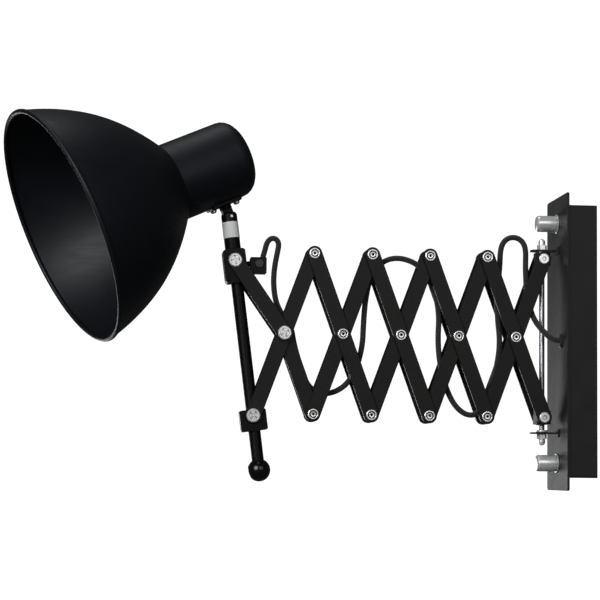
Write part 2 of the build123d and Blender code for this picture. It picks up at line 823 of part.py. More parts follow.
with BuildPart() as post_clamp:
    leaning_block(post_head, post_clamp_half, post_clamp_x, post_clamp_above, post_clamp_below,
                  post_clamp_round, screw_shank_r, outer_half)
    turned(
        rod_outline(-post_seat, post_clamp_above + 5, sleeve_r + run_fit), head_point, post_up, Mode.SUBTRACT
    )
    turned(
        rod_outline(-post_clamp_below - 5, 0, post_r + seat_fit), head_point, post_up, Mode.SUBTRACT
    )
    clamp_screw_centre = head_point + post_side * clamp_screw_x + post_up * clamp_screw_z
    turned(
        rod_outline(-post_clamp_half - 1, post_clamp_half + 1, clamp_screw_r + seat_fit),
        clamp_screw_centre,
        (0, -1, 0),
        Mode.SUBTRACT,
    )
    clip_join = head_point + post_side * (post_clamp_x / 2) - post_up * clip_neck_drop
    turned(
        rod_outline(-clip_neck_depth, 1, clip_neck_r + seat_fit), clip_join, post_side, Mode.SUBTRACT
    )
save("post_clamp", post_clamp)

with BuildPart() as post_clamp_screw:
    turned(
        [
            (-post_clamp_half, 0),
            (-post_clamp_half, clamp_screw_r),
            (post_clamp_half, clamp_screw_r),
            (post_clamp_half, clamp_screw_head_r),
            (post_clamp_half + 1.0, clamp_screw_head_r - 0.4),
            (post_clamp_half + 1.0, 0),
        ],
        clamp_screw_centre,
        (0, -1, 0),
    )
save("post_clamp_screw", post_clamp_screw)

with BuildPart() as guide_clamp:
    leaning_block(post_foot, guide_half, guide_x, guide_above, guide_below, guide_round, screw_shank_r,
                  inner_half)
    guide_bore = rod_outline(-guide_below - 5, guide_above + 5, post_r + run_fit)
    turned(guide_bore, foot_point, post_up, Mode.SUBTRACT)
save("guide_clamp", guide_clamp)


def post_screws(point, bar_inner, turn):
    """A big-headed screw in each trunnion of a block, into the part in hand."""
    seat = bar_inner + bar_thick + end_play
    bite = screw_bite - end_play
    for side in (-1, 1):
        turned(
            [(seat - bite, 0), (seat - bite, screw_shank_r), (seat, screw_shank_r), *big_head_points(seat)],
            place(point),
            (0, side, 0),
        )
        cross_recess(point, side, seat, turn)


with BuildPart() as upper_post_screws:
    post_screws(post_head, outer_half, 12)
save("upper_post_screws", upper_post_screws)
with BuildPart() as lower_post_screws:
    post_screws(post_foot, inner_half, 50)
save("lower_post_screws", lower_post_screws)

ball_point = head_point - post_up * ball_drop
post_top = -post_seat - end_play
post_bottom = -ball_drop - ball_r + ball_socket
with BuildPart() as post_rod:
    turned(rod_outline(post_bottom, post_top, post_r, 0.4), head_point, post_up)
save("post_rod", post_rod)

with BuildPart() as ball_knob:
    with BuildSketch(axial_plane(ball_point, post_up)) as ball_half:
        with BuildLine():
            arc = CenterArc((0, 0), ball_r, 0, 180)
            Line(arc @ 1, arc @ 0)
        make_face()
    revolve(ball_half.sketch, axis=Axis(ball_point, post_up))
    turned(
        rod_outline(post_bottom + ball_drop - end_play, ball_r + 2, post_r + seat_fit),
        ball_point,
        post_up,
        Mode.SUBTRACT,
    )
save("ball_knob", ball_knob)

# the head's directions: post_out leans away from the wall, turned towards -Y
turn, tilt = radians(head_turn_rest), radians(head_tilt_rest)
post_out = post_side * -cos(turn) + Vector(0, -1, 0) * sin(turn)
tilt_axis = post_out.cross(post_up).normalized()
shade_along = post_out * cos(tilt) - post_up * sin(tilt)
neck_up = post_up * cos(tilt) + post_out * sin(tilt)
knuckle = head_point + post_up * knuckle_rise
sleeve_top = knuckle_rise + knuckle_cover
slot_half = tongue_thick / 2 + tongue_gap

with BuildPart() as post_sleeve:
    inner = sleeve_r - sleeve_wall
    rounding = [
        (sleeve_top - sleeve_round + sleeve_round * sin(radians(a)),
         sleeve_r - sleeve_round + sleeve_round * cos(radians(a)))
        for a in (0, 22, 45, 67, 90)
    ]
    foot = -post_seat + end_play
    turned(
        [(foot, inner), (foot, sleeve_r), *rounding, (sleeve_top, 0), (knuckle_rise - slot_depth - 2, 0),
         (knuckle_rise - slot_depth - 2, inner)],
        head_point,
        post_up,
    )
    slot_plane = Plane(origin=knuckle - tilt_axis * slot_half, x_dir=post_out, z_dir=tilt_axis)
    with BuildSketch(slot_plane) as slot:
        with Locations((0, 0)):
            Rectangle(4 * sleeve_r, 2 * slot_depth)
    extrude(slot.sketch, amount=2 * slot_half, mode=Mode.SUBTRACT)
    turned(rod_outline(-2 * sleeve_r, 2 * sleeve_r, tilt_pin_r + run_fit), knuckle, tilt_axis, Mode.SUBTRACT)
save("post_sleeve", post_sleeve)

with BuildPart() as sleeve_band:
    turned(
        ring_outline(band_low, band_high, sleeve_r + seat_fit, sleeve_r + seat_fit + band_thick),
        head_point,
        post_up,
    )
save("sleeve_band", sleeve_band)

pin_reach = sqrt(sleeve_r**2 - tilt_pin_r**2) - 0.3
with BuildPart() as tilt_pin:
    turned(rod_outline(-pin_reach, pin_reach, tilt_pin_r, 0.2), knuckle, tilt_axis)
save("tilt_pin", tilt_pin)

clip_middle = head_point + post_side * clip_offset - post_up * clip_drop
clip_screw_spot = (clip_middle.X + clip_screw_at[0], clip_middle.Z + clip_screw_at[1])
with BuildPart() as cord_clip:
    with BuildSketch(Plane.XZ.offset(-clip_size[1] / 2)) as outline:
        with Locations((clip_middle.X, clip_middle.Z)):
            RectangleRounded(clip_size[0], clip_size[2], clip_edge)
    extrude(outline.sketch, amount=clip_size[1])
    neck_run = clip_middle.X - clip_size[0] / 2 - clip_join.X
    turned(rod_outline(end_play - clip_neck_depth, neck_run + 1, clip_neck_r), clip_join, post_side)
    turned(
        rod_outline(-end_play, cord_clip_bore, cord_r + seat_fit), cord_end, cord_points[-2] - cord_end,
        Mode.SUBTRACT,
    )
    turned(
        rod_outline(clip_size[1] / 2 - clip_screw_bite - end_play, clip_size[1], clip_shank_r + seat_fit),
        place(clip_screw_spot), (0, -1, 0), Mode.SUBTRACT,
    )
save("cord_clip", cord_clip)

with BuildPart() as cord_clip_screw:
    seat = clip_size[1] / 2
    turned(
        [
            (seat - clip_screw_bite, 0),
            (seat - clip_screw_bite, clip_shank_r),
            (seat, clip_shank_r),
            (seat, clip_screw_r),
            (seat + clip_screw_thick, clip_screw_r - 0.5),
            (seat + clip_screw_thick, 0),
        ],
        place(clip_screw_spot),
        (0, -1, 0),
    )
    with BuildSketch(Plane(origin=place(clip_screw_spot, -seat - clip_screw_thick / 2), x_dir=(1, 0, 0),
                           z_dir=(0, -1, 0))) as recess:
        for angle in (25, 115):
            Rectangle(clip_screw_r * 1.2, clip_screw_r * 0.28, rotation=angle)
    extrude(recess.sketch, amount=clip_screw_thick, mode=Mode.SUBTRACT)
save("cord_clip_screw", cord_clip_screw)

# ================================================================ head
saddle_gap = tongue_length
neck_line = knuckle + neck_up * (saddle_gap + saddle_thick + neck_r)
shade_root = neck_line + shade_along * saddle_back

with BuildPart() as knuckle_tongue:
    tongue_plane = Plane(origin=knuckle - tilt_axis * (tongue_thick / 2), x_dir=shade_along, z_dir=tilt_axis)
    tongue_y = -1 if tongue_plane.y_dir.dot(neck_up) < 0 else 1
    with BuildSketch(tongue_plane) as tongue:
        Circle(tongue_r)
        with Locations((0, tongue_y * saddle_gap / 2)):
            Rectangle(2 * tongue_r, saddle_gap)
        Circle(tilt_pin_r + run_fit, mode=Mode.SUBTRACT)
    extrude(tongue.sketch, amount=tongue_thick)
    collar_low = sleeve_r + 0.4
    pitch = (saddle_gap - collar_low) / (2 * collar_rings)
    ribs = []
    for ring in range(collar_rings):
        low = collar_low + 2 * ring * pitch
        ribs += [(low, collar_r - 0.5), (low + 0.5 * pitch, collar_r), (low + 1.5 * pitch, collar_r)]
    turned([(collar_low, 0), *ribs, (saddle_gap, collar_r - 0.5), (saddle_gap, 0)], knuckle, neck_up)
save("knuckle_tongue", knuckle_tongue)

with BuildPart() as saddle_plate:
    turned(
        ring_outline(
            -saddle_back - saddle_length / 2,
            -saddle_back + saddle_length / 2,
            neck_r + seat_fit,
            neck_r + saddle_thick,
        ),
        shade_root,
        shade_along,
    )
    saddle_place = Plane(origin=neck_line - neck_up * neck_r, x_dir=shade_along, z_dir=neck_up)
    with BuildSketch(saddle_place.offset(-4 * saddle_thick)) as saddle_cut:
        RectangleRounded(saddle_length, saddle_width, 3.0)
    extrude(saddle_cut.sketch, amount=8 * saddle_thick, mode=Mode.INTERSECT)
save("saddle_plate", saddle_plate)

with BuildPart() as neck_cover:
    steps = [radians(a) for a in (0, 15, 30, 45, 60, 75, 90)]
    far = -neck_length
    inner_round = neck_round - neck_wall
    outside = [
        (far + neck_round - neck_round * sin(a), neck_r - neck_round + neck_round * cos(a)) for a in steps
    ]
    inside = [
        (
            far + neck_wall + inner_round - inner_round * sin(a),
            neck_r - neck_wall - inner_round + inner_round * cos(a),
        )
        for a in reversed(steps)
    ]
    turned(
        [(0, neck_r), *outside, (far, 0), (far + neck_wall, 0), *inside, (0, neck_r - neck_wall)],
        shade_root,
        shade_along,
    )
save("neck_cover", neck_cover)

with BuildPart() as saddle_screws:
    for side in (-1, 1):
        screw_point = neck_line + shade_along * (side * saddle_screw_pitch / 2) - neck_up * (
            neck_r + saddle_thick
        )
        turned(
            [
                (0, 0),
                (0, saddle_screw_head_r),
                (saddle_screw_head_thick * 0.4, saddle_screw_head_r),
                (saddle_screw_head_thick, saddle_screw_head_r * 0.55),
                (saddle_screw_head_thick, 0),
            ],
            screw_point,
            neck_up * -1,
        )
save("saddle_screws", saddle_screws)


def bell_line(inset):
    """The shade's outline points, moved inwards by inset square to the outline."""
    points = []
    for index, (along, radius) in enumerate(shade_outline):
        before = shade_outline[max(index - 1, 0)]
        after = shade_outline[min(index + 1, len(shade_outline) - 1)]
        run, rise = after[0] - before[0], after[1] - before[1]
        length = sqrt(run**2 + rise**2)
        points.append((along + inset * rise / length, radius - inset * run / length))
    return points


shade_length = shade_outline[-1][0]
with BuildPart() as shade:
    shade_plane = axial_plane(shade_root, shade_along)
    outer_points = bell_line(0)
    inner_points = bell_line(shade_wall)
    ring_hole = holder_r + seat_fit
    with BuildSketch(shade_plane) as bell:
        with BuildLine():
            outer = Spline(*outer_points)
            rim = Line(outer @ 1, inner_points[-1])
            inner_curve = Spline(*reversed(inner_points[1:]), (shade_wall, outer_points[0][1] - 0.2))
            Polyline(inner_curve @ 1, (shade_wall, ring_hole), (0, ring_hole), outer @ 0)
        make_face()
    revolve(bell.sketch, axis=Axis(shade_root, shade_along))
    rim_point = (shade_length - shade_rim_r * 0.2, outer_points[-1][1] - shade_rim_r * 0.55)
    with BuildSketch(shade_plane) as bead:
        with Locations(rim_point):
            Circle(shade_rim_r)
    revolve(bead.sketch, axis=Axis(shade_root, shade_along))
save("shade", shade)

with BuildPart() as lampholder:
    turned(
        [
            (-holder_back, 0),
            (-holder_back, holder_r * 0.7),
            (-holder_back + 6, holder_r * 0.9),
            (-holder_back + 8, holder_r),
            (holder_front, holder_r),
            (holder_front, holder_bore_r),
            (holder_front - holder_bore_depth, holder_bore_r),
            (holder_front - holder_bore_depth, 0),
        ],
        shade_root,
        shade_along,
    )
    turned(
        rod_outline(-neck_length + neck_wall, -holder_back + 1, holder_foot_r), shade_root, shade_along
    )
save("lampholder", lampholder)

with BuildPart() as holder_ring:
    turned(
        ring_outline(shade_wall + end_play, shade_wall + end_play + ring_thick, holder_r + seat_fit, ring_r, 0.8),
        shade_root,
        shade_along,
    )
save("holder_ring", holder_ring)

with BuildPart() as socket_shell:
    turned(
        ring_outline(-shell_back, shell_front, shell_r, shell_r + shell_wall), shade_root, shade_along
    )
save("socket_shell", socket_shell)

with BuildPart() as socket_contact:
    bottom = holder_front - holder_bore_depth
    turned(rod_outline(bottom, bottom + contact_thick, contact_r, 0.3), shade_root, shade_along)
save("socket_contact", socket_contact)
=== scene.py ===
"""Accordion wall lamp: looks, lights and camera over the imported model. Metres."""

import json
from math import cos, pi, radians, sin

import bmesh
import bpy
from mathutils import Matrix, Vector


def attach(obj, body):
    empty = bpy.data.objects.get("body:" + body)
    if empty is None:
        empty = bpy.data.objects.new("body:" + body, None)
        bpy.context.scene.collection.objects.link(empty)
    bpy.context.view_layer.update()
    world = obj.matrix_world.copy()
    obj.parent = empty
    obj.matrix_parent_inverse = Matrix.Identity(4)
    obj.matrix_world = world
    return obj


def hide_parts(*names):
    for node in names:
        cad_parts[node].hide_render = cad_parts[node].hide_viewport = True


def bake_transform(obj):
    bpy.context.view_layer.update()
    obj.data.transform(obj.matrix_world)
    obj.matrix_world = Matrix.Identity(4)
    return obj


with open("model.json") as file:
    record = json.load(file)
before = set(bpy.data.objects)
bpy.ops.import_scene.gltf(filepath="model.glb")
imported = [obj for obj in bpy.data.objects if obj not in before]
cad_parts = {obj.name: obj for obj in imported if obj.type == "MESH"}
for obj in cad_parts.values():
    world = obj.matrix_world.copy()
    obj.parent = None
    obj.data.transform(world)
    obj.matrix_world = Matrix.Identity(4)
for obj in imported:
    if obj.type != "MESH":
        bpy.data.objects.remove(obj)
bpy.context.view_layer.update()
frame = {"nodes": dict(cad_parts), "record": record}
nodes = frame["nodes"]

LAMP_MIDDLE = (-0.28, 0, 0.02)

CAMERA_PLACE = (-0.44273, -1.74602, -0.12063)
CAMERA_YAW, CAMERA_PITCH, CAMERA_ROLL = radians(5.839), radians(5.061), radians(0.655)
CAMERA_LENS, CAMERA_SENSOR, CAMERA_REACH = 117.0, 36.0, 50

LIGHTS = [  # name, place, size, energy, colour
    ("key_left", (-1.7, -1.9, 0.8), (1.3, 1.3), 44, (0.97, 0.99, 1.0)),
    ("top", (-0.7, 0.1, 2.0), (1.4, 0.8), 8, (1, 1, 1)),
    ("front_fill", (0.5, -2.6, 0.9), (1.8, 1.4), 12, (1, 1, 1)),
    ("back_left", (-1.2, 2.1, -0.45), (1.2, 0.9), 15, (1, 1, 1)),
]
ROOM_LIGHT = 0.06

SHEET_WIDTH, SHEET_TOP = 40.0, 4.0
SHEET_FRONT, SHEET_BACK, SHEET_FLOOR, SHEET_BEND = -24.0, 8.0, -0.85, 0.8

CORD_RADIUS = 0.0026
CORD_STEP = 0.002  # between the rings of the sleeve
CORD_SEARCH = 130  # rings ahead among which a stretch's end is looked for
CORD_CAP_INSET = 0.3  # of the radius
CORD_ROUTE = [  # along the middle of the cord, from the gland to the clip on the post
    (-0.0165, -0.0170, 0.0006), (-0.0345, -0.0170, 0.0006), (-0.0425, -0.0130, 0.0088),
    (-0.0492, -0.0060, 0.0186), (-0.0538, -0.0026, 0.0320), (-0.0564, -0.0008, 0.0490),
    (-0.0570, 0.0003, 0.0690), (-0.0563, 0.0010, 0.0885), (-0.0630, 0.0016, 0.0965),
    (-0.0730, 0.0016, 0.0965), (-0.0800, 0.0012, 0.0885), (-0.0808, 0.0005, 0.0680),
    (-0.0836, -0.0004, 0.0450), (-0.0832, -0.0012, 0.0220), (-0.0806, -0.0010, 0.0000),
    (-0.0832, 0.0000, -0.0220), (-0.0894, 0.0009, -0.0420), (-0.0954, 0.0012, -0.0570),
    (-0.1012, 0.0010, -0.0662), (-0.1112, 0.0004, -0.0672), (-0.1216, -0.0005, -0.0596),
    (-0.1292, -0.0010, -0.0460), (-0.1356, -0.0011, -0.0250), (-0.1382, -0.0006, -0.0010),
    (-0.1366, 0.0002, 0.0250), (-0.1412, 0.0009, 0.0470), (-0.1498, 0.0012, 0.0640),
    (-0.1620, 0.0008, 0.0726), (-0.1770, 0.0000, 0.0756), (-0.1904, -0.0008, 0.0710),
    (-0.2004, -0.0012, 0.0570), (-0.2046, -0.0010, 0.0380), (-0.2062, -0.0003, 0.0160),
    (-0.2068, 0.0005, -0.0060), (-0.2122, 0.0010, -0.0270), (-0.2212, 0.0009, -0.0416),
    (-0.2350, 0.0004, -0.0496), (-0.2496, -0.0002, -0.0490), (-0.2594, -0.0006, -0.0380),
    (-0.2650, -0.0006, -0.0200), (-0.2698, -0.0003, -0.0030), (-0.2714, 0.0000, 0.0090),
    (-0.2800, 0.0002, 0.0204), (-0.2864, 0.0003, 0.0330), (-0.2886, 0.0003, 0.0500),
    (-0.2876, 0.0002, 0.0650), (-0.2853, 0.0000, 0.0770), (-0.2836, -0.0002, 0.0868),
    (-0.2886, -0.0003, 0.0913), (-0.2945, -0.0002, 0.0880), (-0.2970, -0.0001, 0.0776),
    (-0.2997, 0.0000, 0.0678),
]
# Each stretch of the cord: the bodies it passes between, where that bend begins and ends, and where the stretch ends.
CORD_STRETCHES = [
    ("cord_gland", "wall", "swing", (-0.030, -0.017, 0.0006), (-0.052, -0.004, 0.026), (-0.0680, 0, 0.0970)),
    ("cord_top_loop", "swing", "falling_1", (-0.080, 0, 0.0965), (-0.080, 0, -0.020), (-0.0894, 0, -0.0420)),
    ("cord_low_loop", "falling_1", "rising_2", (-0.090, 0, 0), (-0.134, 0, 0), (-0.1380, 0, 0.0050)),
    ("cord_rise", "rising_2", "falling_3", (-0.139, 0, 0.012), (-0.166, 0, 0.074), (-0.1700, 0, 0.0745)),
    ("cord_arch", "falling_3", "rising_3", (-0.171, 0, 0.0755), (-0.203, 0, 0.045), (-0.2046, 0, 0.0380)),
    ("cord_fall", "rising_3", "falling_4", (-0.2046, 0, 0.036), (-0.211, 0, -0.035), (-0.2212, 0, -0.0416)),
    ("cord_sag", "falling_4", "half_bars", (-0.223, 0, 0), (-0.262, 0, 0), (-0.2690, 0, -0.0050)),
    ("cord_end", "half_bars", "post", (-0.280, 0, 0.010), (-0.280, 0, 0.060), None),
]


# ---------------------------------------------------------------- camera, lights, backdrop

def add_camera():
    """Placed so that the lamp's pivots lie where the photograph has them."""
    yaw, pitch, roll = CAMERA_YAW, CAMERA_PITCH, CAMERA_ROLL
    forward = Vector((sin(yaw) * cos(pitch), cos(yaw) * cos(pitch), sin(pitch)))
    level = Vector((cos(yaw), -sin(yaw), 0))
    upright = level.cross(forward)
    right = cos(roll) * level + sin(roll) * upright
    up = cos(roll) * upright - sin(roll) * level
    data = bpy.data.cameras.new("camera")
    data.lens = CAMERA_LENS
    data.sensor_width = CAMERA_SENSOR
    data.clip_end = CAMERA_REACH
    camera = bpy.data.objects.new("camera", data)
    bpy.context.scene.collection.objects.link(camera)
    camera.matrix_world = Matrix((right, up, -forward)).transposed().to_4x4()
    camera.matrix_world.translation = CAMERA_PLACE
    bpy.context.scene.camera = camera


def add_lights():
    for name, place, size, energy, colour in LIGHTS:
        data = bpy.data.lights.new(name, "AREA")
        data.shape = "RECTANGLE"
        data.size, data.size_y = size
        data.energy = energy
        data.color = colour
        light = bpy.data.objects.new(name, data)
        light.location = place
        light.rotation_euler = (Vector(LAMP_MIDDLE) - Vector(place)).to_track_quat("-Z", "Y").to_euler()
        bpy.context.scene.collection.objects.link(light)
    world = bpy.data.worlds.new("studio")
    bpy.context.scene.world = world
    world.use_nodes = True
    background = world.node_tree.nodes["Background"]
    background.inputs["Color"].default_value = (1, 1, 1, 1)
    background.inputs["Strength"].default_value = ROOM_LIGHT


def add_backdrop():
    """A pale sweep: the floor, a quarter round and the upright part behind."""
    mesh = bpy.data.meshes.new("backdrop")
    form = bmesh.new()
    left, rise = -SHEET_WIDTH / 2, SHEET_BACK - SHEET_BEND
    line = [form.verts.new((left, SHEET_FRONT, SHEET_FLOOR)), form.verts.new((left, rise, SHEET_FLOOR))]
    form.edges.new(line)
    turn = bmesh.ops.spin(form, geom=[line[1]], cent=(left, rise, SHEET_FLOOR + SHEET_BEND), axis=(1, 0, 0),
                          angle=pi / 2, steps=12)
    last = [v for v in turn["geom_last"] if isinstance(v, bmesh.types.BMVert)][0]
    form.edges.new((last, form.verts.new((left, last.co.y, SHEET_TOP))))
    sides = bmesh.ops.extrude_edge_only(form, edges=list(form.edges))
    far_side = [v for v in sides["geom"] if isinstance(v, bmesh.types.BMVert)]
    bmesh.ops.translate(form, vec=(SHEET_WIDTH, 0, 0), verts=far_side)
    bmesh.ops.recalc_face_normals(form, faces=form.faces)
    form.to_mesh(mesh)
    form.free()
    mesh.shade_smooth()
    sheet = bpy.data.objects.new("backdrop", mesh)
    bpy.context.scene.collection.objects.link(sheet)
    look = Look("backdrop_paper")
    look.shader.inputs["Base Color"].default_value = (0.93, 0.93, 0.93, 1)
    look.shader.inputs["Roughness"].default_value = 0.9
    look.shader.inputs["Emission Color"].default_value = (1, 1, 1, 1)
    look.shader.inputs["Emission Strength"].default_value = 1.0
    mesh.materials.append(look.material)
    sheet.visible_diffuse = False
    sheet.visible_glossy = False


# ---------------------------------------------------------------- materials

class Look:
    """A material under construction, with its nodes and the coordinates of the object."""

    def __init__(self, name):
        self.material = bpy.data.materials.new(name)
        self.material.use_nodes = True
        tree = self.material.node_tree
        self.nodes, self.links = tree.nodes, tree.links
        self.shader = self.nodes["Principled BSDF"]
        self.place = self.nodes.new("ShaderNodeTexCoord").outputs["Object"]

    def noise(self, scale, detail=3.0, stretch=None, turn=(0, 0, 0)):
        texture = self.nodes.new("ShaderNodeTexNoise")
        texture.inputs["Scale"].default_value = scale
        texture.inputs["Detail"].default_value = detail
        place = self.place
        if stretch:
            mapping = self.nodes.new("ShaderNodeMapping")
            mapping.inputs["Scale"].default_value = stretch
            mapping.inputs["Rotation"].default_value = turn
            self.links.new(place, mapping.inputs["Vector"])
            place = mapping.outputs["Vector"]
        self.links.new(place, texture.inputs["Vector"])
        return texture.outputs["Fac"]

    def remap(self, value, low, high, start=0.3, end=0.7):
        node = self.nodes.new("ShaderNodeMapRange")
        for key, number in (("From Min", start), ("From Max", end), ("To Min", low), ("To Max", high)):
            node.inputs[key].default_value = number
        self.links.new(value, node.inputs["Value"])
        return node.outputs["Result"]

    def maths(self, operation, first, second):
        node = self.nodes.new("ShaderNodeMath")
        node.operation = operation
        for socket, value in zip(node.inputs, (first, second)):
            if isinstance(value, (int, float)):
                socket.default_value = value
            else:
                self.links.new(value, socket)
        return node.outputs[0]

    def blend(self, factor, first, second):
        node = self.nodes.new("ShaderNodeMix")
        node.data_type = "RGBA"
        node.inputs["A"].default_value = (*first, 1)
        node.inputs["B"].default_value = (*second, 1)
        self.links.new(factor, node.inputs["Factor"])
        self.links.new(node.outputs["Result"], self.shader.inputs["Base Color"])

    def bump(self, height, distance, strength):
        node = self.nodes.new("ShaderNodeBump")
        node.inputs["Distance"].default_value = distance
        node.inputs["Strength"].default_value = strength
        self.links.new(height, node.inputs["Height"])
        self.links.new(node.outputs["Normal"], self.shader.inputs["Normal"])

    def rough(self, value):
        self.links.new(value, self.shader.inputs["Roughness"])

    def fixed(self, **values):
        for key, value in values.items():
            self.shader.inputs[key.replace("_", " ")].default_value = value


def powder_coat(name, dark, light, grain, roughness, depth, gloss=0.22):
    """Baked paint: fine orange peel and slow changes of tone and sheen."""
    look = Look(name)
    peel = look.noise(grain, 4)
    cloud = look.noise(38, 3)
    look.blend(look.remap(cloud, 0, 1), dark, light)
    sheen = look.remap(cloud, roughness - 0.04, roughness + 0.04)
    look.rough(look.maths("ADD", look.remap(peel, -0.04, 0.05), sheen))
    look.bump(peel, depth, 0.35)
    look.fixed(Specular_IOR_Level=gloss)
    return look.material


def satin_paint(name, dark, light, roughness, coat):
    """Sprayed satin paint under a thin clear coat, with faint wiping marks."""
    look = Look(name)
    wave = look.noise(16, 2)
    wipe = look.noise(60, 5, (1, 1, 6), (0.2, 0.5, 0))
    fine = look.noise(1600, 2)
    look.blend(look.remap(wave, 0, 1), dark, light)
    look.rough(look.maths("ADD", look.remap(wipe, -0.03, 0.04), look.remap(wave, roughness - 0.02, roughness + 0.02)))
    look.bump(look.maths("ADD", fine, look.maths("MULTIPLY", wave, 3.0)), 0.00004, 0.3)
    look.fixed(Coat_Weight=coat, Coat_Roughness=0.28, Specular_IOR_Level=0.3)
    return look.material


def bright_metal(name, dark, light, roughness, scratch, metallic=1.0):
    """Plated or turned metal: thin hair lines, finger haze, and painted shade that darkens its recesses."""
    look = Look(name)
    haze = look.noise(70, 4)
    lines = look.noise(220, 2, (1, 1, 9))
    # painted shade: ambient occlusion darkens the colour in recesses and grooves, down to a near-black copy of the
    # dark tone; the finger haze varies it at random
    recess_shade = look.nodes.new("ShaderNodeAmbientOcclusion")
    recess_shade.samples = 8
    recess_shade.inputs["Distance"].default_value = 0.0014
    recess_shade_and_haze = look.remap(look.maths("ADD", recess_shade.outputs["AO"], look.remap(haze, -0.06, 0.06)), 0.03, 1, 0.45, 0.9)
    tone = look.maths("MULTIPLY", recess_shade_and_haze, look.remap(haze, 0.9, 1))
    look.blend(tone, tuple(0.04 * c for c in dark), light)
    look.rough(look.maths("ADD", look.remap(lines, -scratch, scratch), look.remap(haze, roughness, roughness + 0.09)))
    look.bump(lines, 0.000004, 0.2)
    look.fixed(Metallic=metallic)
    return look.material


def moulded_plastic(name, dark, light, roughness):
    look = Look(name)
    cloud = look.noise(30, 3)
    spark = look.noise(900, 2)
    look.blend(look.remap(cloud, 0, 1), dark, light)
    look.rough(look.maths("ADD", look.remap(spark, -0.05, 0.05), look.remap(cloud, roughness, roughness + 0.08)))
    look.bump(spark, 0.00005, 0.3)
    return look.material


def braided_sleeve(name, dark, light):
    """Two sets of threads that cross over each other, laid along the cord by its own map."""
    look = Look(name)
    unwrapped = look.nodes.new("ShaderNodeUVMap")
    unwrapped.uv_map = "along_round"
    split = look.nodes.new("ShaderNodeSeparateXYZ")
    look.links.new(unwrapped.outputs["UV"], split.inputs[0])
    run = look.maths("MULTIPLY", split.outputs["X"], 420.0)
    turns = look.maths("MULTIPLY", split.outputs["Y"], 6.0)
    left = look.maths("SINE", look.maths("MULTIPLY", look.maths("ADD", run, turns), 2 * pi), 0)
    right = look.maths("SINE", look.maths("MULTIPLY", look.maths("SUBTRACT", run, turns), 2 * pi), 0)
    weave = look.maths("MAXIMUM", left, right)
    fibre = look.noise(2600, 3)
    look.blend(look.remap(look.maths("ADD", weave, look.remap(fibre, -0.5, 0.5)), 0, 1, -0.6, 1.2), dark, light)
    look.rough(look.remap(fibre, 0.6, 0.8))
    look.bump(look.maths("ADD", weave, look.maths("MULTIPLY", fibre, 0.6)), 0.0004, 0.7)
    look.fixed(Sheen_Weight=0.25, Sheen_Roughness=0.5)
    return look.material


def make_finishes():
    return {
        "plate_coat": powder_coat("plate_coat", (0.012, 0.012, 0.0125), (0.017, 0.017, 0.0175), 1100, 0.5, 0.00012),
        "arm_coat": powder_coat("arm_coat", (0.0062, 0.0062, 0.0055), (0.0088, 0.0088, 0.0078), 1300, 0.44, 0.00008),
        "block_coat": powder_coat("block_coat", (0.0026, 0.0026, 0.0026), (0.004, 0.004, 0.004), 1300, 0.4, 0.00008,
                                  0.15),
        "shade_coat": satin_paint("shade_coat", (0.0018, 0.0032, 0.0058), (0.0028, 0.0044, 0.0074), 0.48, 0.0),
        "bright_nickel": bright_metal("bright_nickel", (0.9, 0.9, 0.9), (1.0, 1.0, 1.0), 0.22, 0.03, 0.6),
        "zinc_steel": bright_metal("zinc_steel", (0.36, 0.365, 0.38), (0.46, 0.465, 0.48), 0.3, 0.06),
        "plain_band": bright_metal("plain_band", (0.98, 0.98, 1.0), (1.0, 1.0, 1.0), 0.45, 0.03, 0.0),
        "black_gloss": satin_paint("black_gloss", (0.002, 0.002, 0.002), (0.003, 0.003, 0.003), 0.16, 0.3),
        "cord_braid": braided_sleeve("cord_braid", (0.003, 0.003, 0.003), (0.014, 0.014, 0.014)),
        "holder_plastic": moulded_plastic("holder_plastic", (0.02, 0.02, 0.02), (0.028, 0.027, 0.026), 0.36),
        "terminal_plastic": moulded_plastic("terminal_plastic", (0.5, 0.49, 0.45), (0.58, 0.57, 0.53), 0.42),
        "contact_brass": bright_metal("contact_brass", (0.62, 0.43, 0.17), (0.72, 0.52, 0.22), 0.26, 0.05),
    }


def dress_nodes(finishes):
    """Each node's own finish. The clip's screw is black in the photograph, unlike the bright ones in its slot."""
    for part in frame["record"]["subparts"]:
        mesh = nodes[part["node"]].data
        mesh.materials.clear()
        dark_screw = part["node"] == "cord_clip_screw"
        mesh.materials.append(finishes["black_gloss" if dark_screw else part["material_slot"]])


# ---------------------------------------------------------------- rivets

ROD_X, ARM_Z = -0.0417, 0.004  # the first pivots' place along the arm, and the height of the middle pivots
HALF_WIDE, HALF_HIGH = 0.0263355, 0.0723563  # half of one cross of the scissor
SPACER_HALF, LAST_SPACER_HALF = 0.0069, 0.00455  # half the gap that the rivets keep between the ladders
SHANK_R, SHOULDER_R, SHOULDER_EDGE = 0.0020, 0.0031, 0.0002
RIVET_SEAT, RIVET_TIP = 0.01165, 0.01295
RIVET_SIDES = 36
MERGE_WITHIN = 0.000002
DIMPLE_R, GROOVE_IN_R, GROOVE_OUT_R, GROOVE_DEPTH = 0.0012, 0.0025, 0.0036, 0.0001
RIVET_HEAD = [  # along the rivet from the head's seat, radius
    (0.0, 0.0020), (0.0, 0.00455), (0.0002, 0.00475), (0.0008, 0.00475), (0.00115, 0.0046), (0.0013, 0.0043),
    (0.0013, 0.0037), (0.0012, 0.0035), (0.0008, 0.0034), (0.0008, 0.0026), (0.0011, 0.0025), (0.0013, 0.0023),
    (0.0013, 0.0015), (0.0012, 0.0012), (-0.0011, 0.0011), (-0.0011, 0.0),
]


